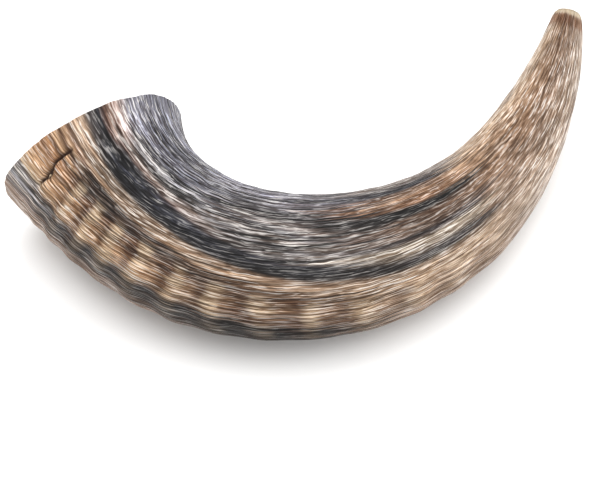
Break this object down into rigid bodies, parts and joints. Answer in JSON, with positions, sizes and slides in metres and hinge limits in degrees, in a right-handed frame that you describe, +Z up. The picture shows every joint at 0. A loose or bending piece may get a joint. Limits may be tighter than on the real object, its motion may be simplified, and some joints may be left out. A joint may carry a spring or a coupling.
{
  "type": "shofar",
  "caption": "Ram's horn trumpet lying on its side: a wide sawn bell, a curved tapering horn and a drilled tip with a small cupped mouthpiece.",
  "frame": {"origin": "centre of the bounding box's footprint, on the surface the horn lies on", "axes": "+Z up, +X along the horn from the bell end to the mouthpiece end, +Y towards the inside of the curve"},
  "size_m": [0.234, 0.1494, 0.059],
  "materials": {
    "bell_horn": "unpolished horn, tan and brown with grey streaks, fibrous",
    "striped_horn": "unpolished horn, brown with blue-black and cream stripes along its length",
    "tip_horn": "dry fibrous horn, light tan to cream"
  },
  "bodies": {
    "root": {"bell_rim": "bell_horn", "growth_cone_1": "bell_horn", "growth_cone_2": "striped_horn", "growth_cone_3": "striped_horn", "growth_cone_4": "striped_horn", "growth_cone_5": "striped_horn", "growth_cone_6": "striped_horn", "growth_cone_7": "tip_horn", "mouthpiece": "tip_horn"}
  },
  "joints": []
}
